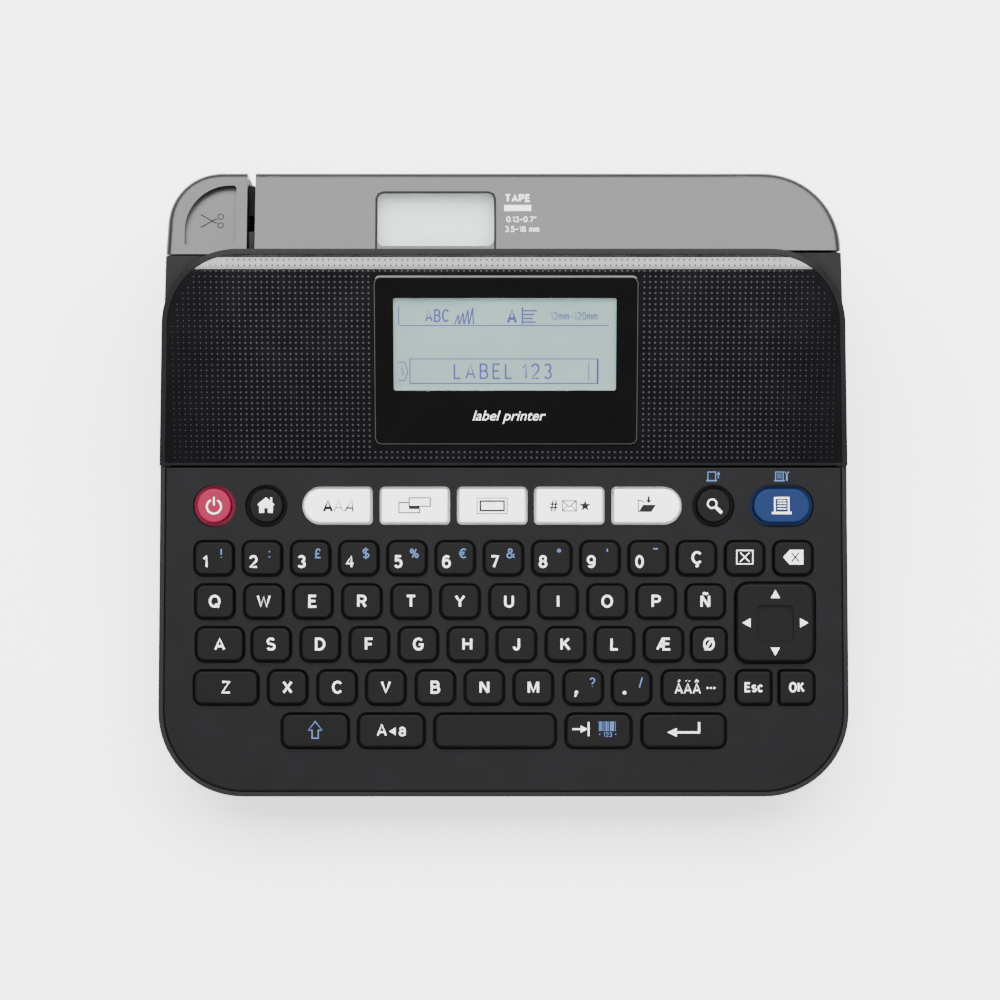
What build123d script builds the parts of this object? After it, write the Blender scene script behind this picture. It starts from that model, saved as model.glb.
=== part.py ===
"""Desktop label printer: keyboard deck, raised display, cutter lever, rear cover, tape cassette
and the drive inside. Lengths in millimetres.

Most pieces are drawn in the deck's own frame: x to the right, u towards the back along the
keyboard deck, w square to the deck with 0 on its top face. SEAT then leans that frame onto the
desk, where +Z is up, +Y is the back and the origin is under the middle of the object.
"""
from build123d import *
import math
import os

os.makedirs("parts", exist_ok=True)

# Stance
DECK_TILT = 12.0
FRONT_Y = -89.0
FRONT_Z = 26.0
CASE_UNDERSIDE = 2.5
CASE_FLOOR = 4.9

# Outline of the body, half widths at distances u from the front
OUTLINE = [(95.2, 0.0), (94.4, 91.0), (91.6, 171.7)]
FRONT_RADIUS = 23.3
REAR_RIGHT_RADIUS = 21.0
REAR_LEFT_RADIUS = 14.6
CASE_WALL = 2.4
DRAFT = 3.0
LIP_TOP = -0.6
LIP_STEP = -2.6
LIP_WIDTH = 1.3

# Deck and keys
DECK_BACK = 90.6
DECK_THICK = 2.4
DECK_INSET = 1.5
KEY_GAP = 0.6
KEY_TOP = 1.5
FLANGE_TOP = -3.0
FLANGE_THICK = 0.9
STEM_BOTTOM = -5.2
DOME_TOP = -6.1
MAT_TOP = -7.8
BOARD_TOP = -8.8
BOARD_THICK = 1.6

# Display
SCREEN_TILT = 13.8
SCREEN_U = 90.7
SCREEN_W = 0.3
SCREEN_BEND_U = 143.5
SCREEN_BEND_R = 19.2
HOUSING_FRONT = 91.1
HOUSING_BACK = 149.3
RIM_RADIUS = 20.8
RIM_WIDTH = 1.5
PANEL_THICK = 1.6
LENS = (-35.2, 36.6, 6.6, 53.1)
LCD = (-30.0, 30.7, 21.6, 47.3)

# Rear top, cover and lever
REAR_TOP = [(148.0, 4.7), (175.0, -1.7)]
COVER_FRONT = 150.0
COVER_LEFT = -68.2
COVER_BOTTOM = 9.4
COVER_WALL = 2.2
COVER_WINDOW = (-34.6, -2.6, 150.0, 166.0)
LEVER_RIGHT = -70.4
LEVER_FRONT = 148.9
LEVER_PIVOT = (150.5, -6.0)

# Tape path and drive
CASSETTE = (-63.0, 23.0, 105.4, 167.0, -28.8, -5.3)
CASSETTE_WALL = 1.3
REEL_AT = (-2.0, 141.0)
PLATEN_AT = (-73.4, 132.0)
IDLER_AT = (-52.0, 129.07)
SPINDLE_AT = (-29.45, 120.9)
PINION_AT = (-61.6, 145.7)
ARM_PIVOT = (-66.6, 110.0)
BLADE_PIVOT = (-80.0, -42.0)
TAPE_X = -68.9
PLATE_TOP = -29.4
PLATE_BOTTOM = -31.0
GEAR_BOTTOM = -36.2
GEAR_TOP = -32.6
MODULE = 0.8
RUNNING = 0.05

# Batteries
CELL_RADIUS = 7.15
CELL_PITCH = 14.7
CELL_Z = 12.7
BAY = (-46.0, 46.0, -50.5, 4.5)
BAY_TOP = 20.6

SEAT = Pos(0, FRONT_Y, FRONT_Z) * Rot(DECK_TILT, 0, 0)
LEVEL = SEAT.inverse()
SCREEN = Pos(0, SCREEN_U, SCREEN_W) * Rot(SCREEN_TILT, 0, 0)


def save(name, shape, place=SEAT):
    export_step(place * shape, f"parts/{name}.step")


def group(shapes):
    return Compound(children=list(shapes))


def block(x0, x1, u0, u1, w0, w1):
    return Pos(x0, u0, w0) * Box(x1 - x0, u1 - u0, w1 - w0, align=(Align.MIN,) * 3)


def post(x, u, w0, w1, radius):
    return Pos(x, u, w0) * Cylinder(radius, w1 - w0, align=(Align.CENTER, Align.CENTER, Align.MIN))


def pad(x, u, width, depth, corner, w0, w1):
    """A rounded block; a pair of corners gives its left end, then its right end."""
    plan = Sketch() + Rectangle(width, depth)
    left, right = corner if isinstance(corner, tuple) else (corner, corner)
    plan = fillet(plan.vertices().filter_by(lambda v: v.X < 0), left)
    plan = fillet(plan.vertices().filter_by(lambda v: v.X > 0), right)
    return extrude(Pos(x, u, w0) * plan, amount=w1 - w0)


def wider(corner, extra):
    return tuple(c + extra for c in corner) if isinstance(corner, tuple) else corner + extra


def side_prism(*points):
    """A profile in u and w, carried right across the body."""
    return extrude(Plane.YZ * make_face(Polyline(*points, close=True)), amount=120, both=True)


def above_desk(height):
    return LEVEL * (Pos(0, 0, height) * Box(500, 500, 300, align=(Align.CENTER, Align.CENTER, Align.MIN)))


def outline(inset=0.0):
    left = [(-x, u) for x, u in reversed(OUTLINE)]
    face = Sketch() + make_face(Polyline(*OUTLINE, *left, close=True))
    face = fillet(face.vertices().filter_by(lambda v: v.Y < 1), FRONT_RADIUS)
    face = fillet(face.vertices().filter_by(lambda v: v.Y > 171 and v.X > 0), REAR_RIGHT_RADIUS)
    face = fillet(face.vertices().filter_by(lambda v: v.Y > 171 and v.X < -80), REAR_LEFT_RADIUS)
    return offset(face, -inset) if inset else face


def layer(inset, w0, w1):
    return extrude(Pos(0, 0, w0) * outline(inset), amount=w1 - w0)


def tub(inset, above=0.0):
    """The body, drawn in towards the desk, starting at a height above the lip."""
    spread = above * math.tan(math.radians(DRAFT))
    start = Pos(0, 0, LIP_TOP + above) * outline(inset - spread)
    return extrude(start, amount=70 + above, dir=(0, 0, -1), taper=DRAFT)


def screen_curve(drop):
    """The display's side view lowered by drop: a straight slope, then a bend over the back."""
    slope = math.radians(SCREEN_TILT)
    bend_w = SCREEN_W + (SCREEN_BEND_U - SCREEN_U) * math.tan(slope)
    cu = SCREEN_BEND_U + SCREEN_BEND_R * math.sin(slope)
    cw = bend_w - SCREEN_BEND_R * math.cos(slope)
    points = [(SCREEN_U, SCREEN_W - drop)]
    for i in range(9):
        heading = math.radians(SCREEN_TILT - i * (SCREEN_TILT + 5.0) / 8)
        du, dw = SCREEN_BEND_R * math.sin(heading), SCREEN_BEND_R * math.cos(heading)
        points.append((cu - du, cw + dw - drop))
    return points


def under_screen(drop, bottom):
    curve = screen_curve(drop)
    return side_prism((curve[0][0], bottom), *curve, (curve[-1][0], bottom))


def screen_plan(inset):
    points = [(95.0, 80.0), (92.36, 149.75), (-92.36, 149.75), (-95.0, 80.0)]
    face = Sketch() + make_face(Polyline(*points, close=True))
    face = fillet(face.vertices().filter_by(lambda v: v.Y > 149), RIM_RADIUS)
    face = offset(face, -inset) if inset else face
    return extrude(Pos(0, 0, -20) * face, amount=60)


def gear(teeth, x, u, phase=0.0, bore=0.0):
    """A spur gear with straight-sided teeth, a little thin so that meshed pairs turn freely."""
    pitch = MODULE * teeth / 2
    step = 360 / teeth
    points = []
    for i in range(teeth):
        for radius, turn in (
            (pitch - 1.2 * MODULE, -0.36),
            (pitch + 0.9 * MODULE, -0.11),
            (pitch + 0.9 * MODULE, 0.11),
            (pitch - 1.2 * MODULE, 0.36),
        ):
            angle = math.radians(phase + (i + turn) * step)
            points.append((radius * math.cos(angle), radius * math.sin(angle)))
    face = make_face(Polyline(*points, close=True))
    wheel = Pos(x, u, GEAR_BOTTOM) * extrude(face, amount=GEAR_TOP - GEAR_BOTTOM)
    return wheel - post(x, u, GEAR_BOTTOM - 1, GEAR_TOP + 1, bore) if bore else wheel


# ---------------------------------------------------------------------------------------------
# Keys: name, then x, u, width, depth and corner radius of each cap
# ---------------------------------------------------------------------------------------------
CAP = (10.4, 9.0, 2.2)


def row_of(xs, u, wide=None):
    wide = wide or {}
    return [(x, u, wide.get(i, CAP[0]), CAP[1], CAP[2]) for i, x in enumerate(xs)]


NUMBERS_U, QWERTY_U, ASDF_U, ZXCV_U, SPACE_U, FUNCTION_U = 65.6, 53.7, 41.95, 30.1, 18.2, 80.0
KEYS = {
    "key_power": [(-79.5, FUNCTION_U, 9.5, 9.5, 4.74)],
    "key_home": [(-65.2, FUNCTION_U, 9.45, 9.45, 4.71)],
    "key_font": [(-45.7, FUNCTION_U, 18.2, 9.3, (4.6, 0.7))],
    "key_layout": [(-24.4, FUNCTION_U, 18.2, 9.3, 0.8)],
    "key_frame": [(-3.1, FUNCTION_U, 18.2, 9.3, 0.8)],
    "key_symbol": [(18.1, FUNCTION_U, 18.2, 9.3, 0.8)],
    "key_file": [(39.4, FUNCTION_U, 18.2, 9.3, (0.7, 4.6))],
    "key_search": [(57.7, FUNCTION_U, 9.4, 9.4, 4.69)],
    "key_print": [(76.4, FUNCTION_U, 15.6, 9.4, 4.69)],
    "key_row_numbers": row_of([-79.5 + 13.25 * i for i in range(11)], NUMBERS_U),
    "key_clear": [(66.25, NUMBERS_U, *CAP)],
    "key_backspace": [(79.5, NUMBERS_U, *CAP)],
    "key_row_upper": row_of([-79.3 + 13.47 * i for i in range(11)], QWERTY_U),
    "key_row_middle": row_of(
        [-77.9] + [-63.8 + 13.47 * i for i in range(9)] + [56.4], ASDF_U, {0: 12.8, 10: 9.4}
    ),
    "key_row_lower": row_of([-76.2, -59.3, -45.7, -32.3, -18.7, -5.25, 8.2, 21.9, 35.2], ZXCV_U, {0: 17.3}),
    "key_accent": [(52.1, ZXCV_U, 16.9, 9.0, 2.2)],
    "key_escape": [(68.7, ZXCV_U, 9.4, 9.0, (2.0, 0.9))],
    "key_ok": [(80.5, ZXCV_U, 9.4, 9.0, (0.9, 2.0))],
    "key_shift": [(-51.7, SPACE_U, 18.0, 9.0, 2.2)],
    "key_caps": [(-30.8, SPACE_U, 17.9, 9.0, 2.2)],
    "key_space": [(-2.3, SPACE_U, 33.0, 9.0, 2.2)],
    "key_tab": [(26.1, SPACE_U, 17.7, 9.0, 2.2)],
    "key_enter": [(49.5, SPACE_U, 22.7, 9.0, 2.2)],
}
DPAD = (74.6, 47.9, 21.4, 21.6, 3.4)
ALL_KEYS = [key for keys in KEYS.values() for key in keys]


def is_round(corner):
    return not isinstance(corner, tuple) and corner > 4.5


def key(x, u, width, depth, corner):
    round_key = is_round(corner)
    cap = pad(x, u, width, depth, corner, FLANGE_TOP, KEY_TOP)
    cap = fillet(cap.edges().group_by(Axis.Z)[-1], 0.55)
    spread = 1.6 if width < 9.5 and not round_key else 2.0
    flange_corner = wider(corner, spread / 2 - (0.02 if round_key else 0))
    flange = pad(x, u, width + spread, depth + spread, flange_corner, FLANGE_TOP - FLANGE_THICK, FLANGE_TOP)
    return cap + flange + post(x, u, STEM_BOTTOM, FLANGE_TOP, 2.0)


for name, keys in KEYS.items():
    save(name, group([key(*k) for k in keys]))

x, u, width, depth, corner = DPAD
dpad = pad(x, u, width, depth, corner, FLANGE_TOP, 2.0)
dpad = fillet(dpad.edges().group_by(Axis.Z)[-1], 0.8)
dpad -= pad(x, u, 10.0, 9.7, 1.2, 1.1, 3.0)
dpad += pad(x, u, width + 1.4, depth + 1.4, corner + 0.6, FLANGE_TOP - FLANGE_THICK, FLANGE_TOP)
save("dpad", dpad)
pivot = pad(x, u, 7.0, 7.0, 1.0, -5.3, -4.2)
save("dpad_pivot", pivot + post(x, u, -6.0, -5.3, 1.5))

mat = layer(6.0, MAT_TOP - 0.8, MAT_TOP) & block(-100, 100, 0, 88, -20, 0)
for kx, ku, *_ in ALL_KEYS:
    dome = Cone(3.4, 2.0, DOME_TOP - MAT_TOP, align=(Align.CENTER, Align.CENTER, Align.MIN))
    mat += Pos(kx, ku, MAT_TOP) * dome
for dx, du in ((0, 7.5), (0, -7.5), (7.5, 0), (-7.5, 0)):
    mat += post(x + dx, u + du, MAT_TOP, -6.4, 2.0)
save("key_mat", mat)
board = layer(6.5, BOARD_TOP - BOARD_THICK, BOARD_TOP) & block(-100, 100, 0, 88, -20, 0)
save("keypad_board", board)

# ---------------------------------------------------------------------------------------------
# Keyboard deck
# ---------------------------------------------------------------------------------------------
deck_span = block(-100, 100, -5, DECK_BACK, -20, 5)
deck = layer(DECK_INSET, -DECK_THICK, 0) & deck_span
deck = fillet(deck.edges().group_by(Axis.Z)[-1], 0.5)
deck += (layer(2.9, -5.5, -DECK_THICK) - layer(4.1, -6, 0)) & deck_span
for kx, ku, kw, kd, kr in ALL_KEYS + [DPAD]:
    grow = 2 * KEY_GAP + (1.0 if is_round(kr) else 0)
    deck -= pad(kx, ku, kw + grow, kd + grow, wider(kr, grow / 2 - (0.02 if is_round(kr) else 0)), -6, 3)
save("keyboard_deck", deck)

# ---------------------------------------------------------------------------------------------
# Display housing and what it carries
# ---------------------------------------------------------------------------------------------
housing_span = block(-100, 100, HOUSING_FRONT, HOUSING_BACK + 0.45, -20, 30)
rim = screen_plan(0) & under_screen(0, -0.4) & housing_span
shoulder = layer(0, -0.4, 6) & side_prism(
    (HOUSING_FRONT, -0.4), (HOUSING_FRONT, 0.3), (HOUSING_BACK, 4.4), (HOUSING_BACK, -0.4)
)
shoulder -= block(-100, LEVER_RIGHT + 0.2, LEVER_FRONT - 0.4, 160, -20, 20)
plug = layer(DECK_INSET, -2.4, -0.4) & block(-100, 100, HOUSING_FRONT, 147.6, -5, 5)
plug += (layer(2.9, -5.5, -2.4) - layer(4.1, -6, 0)) & block(-100, 100, HOUSING_FRONT, 147.6, -6, 5)
housing = rim + shoulder + plug
cavity_span = block(-100, 100, 95, 147.2, -8, 30)
housing -= layer(4.1, -8, 30) & screen_plan(2.8) & under_screen(3.9, -8) & cavity_span
panel_span = block(-100, 100, 91.9, 160, -20, 30)
housing -= screen_plan(RIM_WIDTH) & (under_screen(-3, -8) - under_screen(PANEL_THICK + 0.1, -9)) & panel_span
housing -= SCREEN * block(LENS[0] + 2, LENS[1] - 2, 17.5, 51, -9, 5)
save("display_housing", housing)

panel = screen_plan(RIM_WIDTH + 0.1) & (under_screen(0.15, -8) - under_screen(PANEL_THICK, -9))
panel = panel & block(-100, 100, 92.0, 160, -20, 30)
panel -= SCREEN * block(LCD[0] - 1, LCD[1] + 1, LCD[2] - 1, LCD[3] + 1, -9, 5)
save("display_panel", panel)


def screen_slab(rect, grow, h0, h1, corner):
    cx, cs = (rect[0] + rect[1]) / 2, (rect[2] + rect[3]) / 2
    return SCREEN * pad(cx, cs, rect[1] - rect[0] + 2 * grow, rect[3] - rect[2] + 2 * grow, corner, h0, h1)


lens = screen_slab(LENS, 0, -0.1, 0.9, 1.6) - screen_slab(LCD, 0, -2, 2, 0.6)
save("display_lens", lens)
save("lcd_glass", screen_slab(LCD, -0.1, -0.1, 0.7, 0.5))
lcd = screen_slab(LCD, 0.5, -2.0, -0.6, 0.5) + screen_slab(LCD, 3.0, -5.0, -2.0, 1.0)
save("lcd_module", lcd)

# ---------------------------------------------------------------------------------------------
# Rear envelope, shared by the cover and the lever
# ---------------------------------------------------------------------------------------------


def rear_envelope(inset, drop):
    (u0, w0), (u1, w1) = REAR_TOP
    return tub(inset, 9.0) & side_prism((u0, -70), (u1, -70), (u1, w1 - drop), (u0, w0 - drop))


envelope = rear_envelope(0, 0)
hollow = rear_envelope(COVER_WALL, COVER_WALL)
cover_zone = block(COVER_LEFT, 100, COVER_FRONT, 180, -70, 20) & above_desk(COVER_BOTTOM)
soft = envelope & block(-100, 100, 148, 180, -70, 20)
soft = fillet(soft.edges().filter_by(lambda e: e.center().Z > -3 and e.center().Y > 149), 2.0)
cover = (soft - hollow) & cover_zone
cover += block(COVER_LEFT, COVER_LEFT + 1.4, COVER_FRONT, 169.5, -4.0, 6) & soft
window_x, window_u = (COVER_WINDOW[0] + COVER_WINDOW[1]) / 2, (COVER_WINDOW[2] + COVER_WINDOW[3]) / 2
window_w, window_d = COVER_WINDOW[1] - COVER_WINDOW[0], COVER_WINDOW[3] - COVER_WINDOW[2]
cover -= pad(window_x, window_u + 0.6, window_w, window_d - 1.2, 1.8, -6, 10)
save("back_cover", cover)
pane = pad(window_x, window_u + 0.6, window_w - 0.3, window_d - 1.5, 1.65, -6, 10)
save("cover_window", pane & (rear_envelope(0, 0.4) - rear_envelope(0, 1.8)))

lever = soft & block(-100, LEVER_RIGHT, LEVER_FRONT, 180, -7, 20)
lever -= rear_envelope(COVER_WALL, 5.2) & block(-100, LEVER_RIGHT - 1.6, LEVER_FRONT + 1.6, 180, -20, 20)
recess = Sketch() + Pos(-80.4, 159.7) * Rectangle(14.0, 16.8)
recess = fillet(recess.vertices().filter_by(lambda v: v.X < -80 and v.Y > 160), 12.4)
recess = fillet(recess.vertices().filter_by(lambda v: v.Y < 152 or v.X > -74), 0.9)
well = extrude(Pos(0, 0, 6) * recess, amount=16, dir=(0, 0, -1))
lever -= well & rear_envelope(-20, -9) & side_prism((140, 20), (180, 20), (180, -5.5), (148.0, 2.1))
lever -= screen_plan(-0.4)
save("cutter_lever", lever)

# ---------------------------------------------------------------------------------------------
# Lower case
# ---------------------------------------------------------------------------------------------
case = (tub(0) & above_desk(CASE_UNDERSIDE)) - (tub(CASE_WALL) & above_desk(CASE_FLOOR))
case -= layer(LIP_WIDTH, LIP_STEP, 5)
case -= block(COVER_LEFT - 0.2, 100, COVER_FRONT - 0.25, 180, -70, 20) & above_desk(COVER_BOTTOM - 0.8)
case -= side_prism((148.4, 20), (148.4, -7.7), (171.9, -12.7), (190, -12.7), (190, 20)) & block(
    -120, COVER_LEFT, 140, 190, -30, 30
)
liner = layer(3.5, -22, -6) - layer(4.9, -23, -5)
liner = liner & side_prism((150, -25), (150, -7.4), (175, -11.2), (175, -25))
case += liner & block(-120, LEVER_RIGHT - 1.9, 140, 190, -30, 30)
case -= block(-70.6, COVER_LEFT, 148.4, 180, PLATE_TOP, 20)
guide = block(-71.2, -69.2, 160.6, 169.0, -29, -11.8)
guide -= Pos(-61.2, 171.5, -30) * Rot(0, 0, -13) * Box(12, 8, 60)
case += guide
grip = make_face(Polyline((93.4, 99.7), (94.95, 99.7), (93.9, 110.5), (93.4, 110.5), close=True))
for side in (grip, mirror(grip, Plane.YZ)):
    case += extrude(Pos(0, 0, -13) * side, amount=7)

x0, x1, y0, y1 = BAY
bay_outer = LEVEL * block(x0 - 1.5, x1 + 1.5, y0 - 1.5, y1 + 1.5, CASE_UNDERSIDE, BAY_TOP + 1.4)
case += bay_outer
case -= LEVEL * block(x0, x1, y0, y1, CASE_UNDERSIDE - 2, BAY_TOP)
SCREWS = [(-84, -62), (84, -62), (-84, -6), (84, -6), (-20, 62), (52, 62)]
for sx, sy in SCREWS:
    case += LEVEL * post(sx, sy, CASE_FLOOR - 1, 13.5, 3.6)
for fx, fy in ((36, 104), (84, 104), (36, 142), (84, 142)):
    case += post(fx, fy, -70, -22, 3) & above_desk(CASE_FLOOR - 1)
for fx, fy in ((-82, 107), (-84, 146), (18, 108), (18, 158), (-40, 158)):
    case += post(fx, fy, -70, PLATE_BOTTOM, 3.2) & above_desk(CASE_FLOOR - 1)
FEET = [(-76, -68), (76, -68), (-72, 68), (72, 68)]
for fx, fy in FEET:
    case -= LEVEL * post(fx, fy, 0, CASE_UNDERSIDE + 0.8, 7.2)
for sx, sy in SCREWS:
    case -= LEVEL * post(sx, sy, 0, CASE_UNDERSIDE + 1.6, 3.2)
    case -= LEVEL * post(sx, sy, 0, 12.5, 1.5 + RUNNING)
case -= block(88, 100, 110.6, 119.4, -20.8, -16.6)
case -= Pos(94, 131, -15.4) * Rot(0, 90, 0) * Cylinder(4.3, 20)
save("lower_case", case)

HEAD_Z = CASE_UNDERSIDE + 1.6
screws = [post(sx, sy, HEAD_Z - 1.5, HEAD_Z, 2.9) + post(sx, sy, HEAD_Z, 12.0, 1.5) for sx, sy in SCREWS]
save("case_screws", group(screws), Location())
save("rubber_feet", group(post(fx, fy, 0, CASE_UNDERSIDE + 0.8, 7.0) for fx, fy in FEET), Location())

door = block(x0 + 0.3, x1 - 0.3, y0 + 0.3, y1 - 1.4, 2.7, 4.7)
door += Pos(0, y1 - 1.4, 3.7) * Rot(0, 90, 0) * Cylinder(1.0, x1 - x0 - 0.6)
save("battery_cover", door, Location())

cells = []
contacts = []
for i in range(6):
    cx = (i - 2.5) * CELL_PITCH
    flip = 1 if i % 2 == 0 else -1
    mid = (y0 + y1) / 2
    axis = Pos(cx, mid, CELL_Z) * Rot(-90 * flip, 0, 0)
    cells.append(axis * (Cylinder(CELL_RADIUS, 49.0) + Pos(0, 0, 25.2) * Cylinder(2.7, 1.4)))
    contacts.append(axis * Pos(0, 0, 26.65) * Box(9, 9, 0.6))
    contacts.append(axis * (Pos(0, 0, -25.5) * Cone(3.6, 2.0, 1.6) + Pos(0, 0, -26.7) * Box(9, 9, 0.8)))
save("batteries", group(cells), Location())
save("battery_contacts", group(contacts), Location())

# ---------------------------------------------------------------------------------------------
# Chassis, cassette and drive
# ---------------------------------------------------------------------------------------------
chassis = block(-86, 26, 103.5, 150, PLATE_BOTTOM, PLATE_TOP)
chassis += block(-80, 26, 150, 163.5, PLATE_BOTTOM, PLATE_TOP)
chassis += block(24.4, 26, 103.5, 163.5, PLATE_TOP, -6)
chassis += block(-62, 26, 103.5, 104.9, PLATE_TOP, -7)
chassis += block(-68.4, -67.2, 151, 156.6, PLATE_TOP, -5.5)
chassis += block(-68.4, -67.2, 160.4, 163.5, PLATE_TOP, -5.5)
chassis += block(-71.2, -69.2, 150.0, 156.0, PLATE_TOP, -8.5)
chassis += block(-82, -79, 128, 136, PLATE_TOP, -3.9) + block(-82, -70, 128, 136, -5.4, -3.9)
chassis += post(*ARM_PIVOT, PLATE_TOP, -4.0, 1.2)
chassis += post(*IDLER_AT, -37.0, PLATE_BOTTOM, 2.0)
chassis += block(-84, -76, 159.4, 161.0, -45.5, PLATE_TOP)
blade_pin = Pos(BLADE_PIVOT[0], 157.4, BLADE_PIVOT[1]) * Rot(-90, 0, 0)
chassis += blade_pin * Cylinder(1.5, 3.0, align=(Align.CENTER, Align.CENTER, Align.MIN))
chassis += block(-84.5, -78, 161.0, 163.5, PLATE_BOTTOM, -16.0)
for ox, ou in ((-73.6, 151.0), (-50.5, 152.5)):
    chassis += post(ox, ou, -36.6, PLATE_BOTTOM, 1.8)
chassis -= block(-84.5, -66.8, 157.6, 159.3, PLATE_BOTTOM - 1, PLATE_TOP + 1)
for hx, hu, hr in ((*PLATEN_AT, 1.5), (*SPINDLE_AT, 1.5), (*PINION_AT, 1.0)):
    chassis -= post(hx, hu, -32, 0, hr + RUNNING)
save("chassis_frame", chassis)

fixed_blade = block(-68.5, -64.2, 157.0, 157.9, PLATE_TOP, -5.5)
save("fixed_blade", fixed_blade)
px, pw = BLADE_PIVOT
edge = Polyline(
    (px - 3.5, pw - 3.5), (px + 4, pw - 3.5), (-69.8, -30), (-69.8, -27.5), (-72.0, -8.5), (-78.5, -8.5),
    (px - 3.5, -24), close=True,
)
blade = extrude(Plane.XZ * make_face(edge), amount=-0.9)
blade = Pos(0, 158.05, 0) * blade
blade -= blade_pin * Cylinder(1.5 + RUNNING, 20)
save("cutter_blade", blade)

wire = Plane(origin=(2.4, 0, 0), z_dir=(0, 1, 0.1)) * Circle(0.35)
save("lever_spring", Pos(-81.2, 162.2, -15.5) * sweep(wire, path=Helix(pitch=1.5, height=8.6, radius=2.4)))

platen = post(*PLATEN_AT, -27.0, -6.5, 4.0) + post(*PLATEN_AT, GEAR_BOTTOM, -4.2, 1.5)
mesh_platen = math.degrees(math.atan2(PLATEN_AT[1] - IDLER_AT[1], PLATEN_AT[0] - IDLER_AT[0]))
mesh_spindle = math.degrees(math.atan2(SPINDLE_AT[1] - IDLER_AT[1], SPINDLE_AT[0] - IDLER_AT[0]))
mesh_pinion = math.degrees(math.atan2(PINION_AT[1] - IDLER_AT[1], PINION_AT[0] - IDLER_AT[0]))
IDLER_TEETH = 36


def meshed(teeth, direction):
    """Phase that puts a gap of this gear where the idler's tooth pattern, phase 0, comes to it."""
    idler_turns = direction / (360 / IDLER_TEETH)
    offset_turns = idler_turns - math.floor(idler_turns)
    return direction + 180 + (0.5 + offset_turns) * (360 / teeth)


platen += gear(18, *PLATEN_AT, meshed(18, mesh_platen))
save("platen_roller", platen)
save("idler_gear", gear(IDLER_TEETH, *IDLER_AT, 0.0, 2.0 + RUNNING))
spindle = gear(24, *SPINDLE_AT, meshed(24, mesh_spindle)) + post(*SPINDLE_AT, GEAR_TOP, PLATE_TOP, 1.5)
save("spindle_gear", spindle)
pinion = gear(12, *PINION_AT, meshed(12, mesh_pinion)) + post(*PINION_AT, -44, -30, 1.0)
save("motor_pinion", pinion)
motor = post(*PINION_AT, -49.0, -37.4, 10.0) + pad(-62.0, 150.5, 28, 9, 3, -38.0, -36.8)
motor -= post(*PINION_AT, -45, -30, 1.0 + RUNNING)
save("drive_motor", motor)

arm = block(-67.9, -66.3, 111.0, 137.0, -28.0, -5.5) + post(*ARM_PIVOT, -28.0, -5.5, 2.3)
arm -= post(*ARM_PIVOT, -40, 0, 1.2 + RUNNING)
save("head_arm", arm)
save("print_head", block(-69.15, -67.9, 129.5, 134.5, -26.5, -7.0))

cx0, cx1, cu0, cu1, cw0, cw1 = CASSETTE
shell = pad((cx0 + cx1) / 2, (cu0 + cu1) / 2, cx1 - cx0, cu1 - cu0, 4.0, cw0, cw1)
t = CASSETTE_WALL
shell -= pad((cx0 + cx1) / 2, (cu0 + cu1) / 2, cx1 - cx0 - 2 * t, cu1 - cu0 - 2 * t, 2.7, cw0 + t, cw1 - t)
shell -= post(*SPINDLE_AT, cw0 - 1, cw0 + 2, 4.0)
shell -= post(*REEL_AT, cw1 - 2, cw1 + 1, 8.0)
shell += post(*REEL_AT, cw0 + 0.5, -9.0, 4.5)
shell -= block(cx0 - 1, cx0 + 2, 108.5, 112.5, -27, -7)
save("cassette_case", shell)
save("tape_reel", post(*REEL_AT, -27.2, -6.9, 22.0) - post(*REEL_AT, -30, 0, 4.5 + RUNNING))
save("ribbon_spool", post(*SPINDLE_AT, -27.1, -7.0, 8.5) + post(*SPINDLE_AT, cw0, -27.1, 3.95))

# ---------------------------------------------------------------------------------------------
# Electronics
# ---------------------------------------------------------------------------------------------
main_board = block(32, 88, 100, 146, -22.0, -20.4)
CHIPS = [(44, 112, 12, 12, 1.4), (62, 110, 8, 6, 1.2), (50, 132, 16, 7, 4.0), (68, 128, 7, 7, 6.0)]
for bx, bu, bw, bd, bh in CHIPS:
    main_board += pad(bx, bu, bw, bd, 0.5, -20.4, -20.4 + bh)
save("main_board", main_board)
usb = block(83.5, 91.6, 111.2, 118.8, -20.4, -17.0) - block(85.5, 92, 111.8, 118.2, -19.8, -17.6)
save("usb_socket", usb + block(84.5, 91, 112.6, 117.4, -18.9, -18.3))
jack_axis = Pos(91.6, 131, -15.4) * Rot(0, -90, 0)
jack = block(77.5, 88.0, 126.2, 135.8, -20.4, -10.6)
jack += jack_axis * Cylinder(4.0, 4.0, align=(Align.CENTER, Align.CENTER, Align.MIN))
jack -= jack_axis * Cylinder(2.8, 10.0, align=(Align.CENTER, Align.CENTER, Align.MIN))
jack += jack_axis * Pos(0, 0, 1.5) * Cylinder(1.0, 9.0, align=(Align.CENTER, Align.CENTER, Align.MIN))
save("power_jack", jack)
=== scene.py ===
"""Desktop label printer: finishes, key legends, display graphics and a studio stage."""
import math

import bmesh
import bpy
from bpy.props import FloatProperty, FloatVectorProperty, IntProperty, PointerProperty, StringProperty
from mathutils import Matrix, Vector


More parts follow.
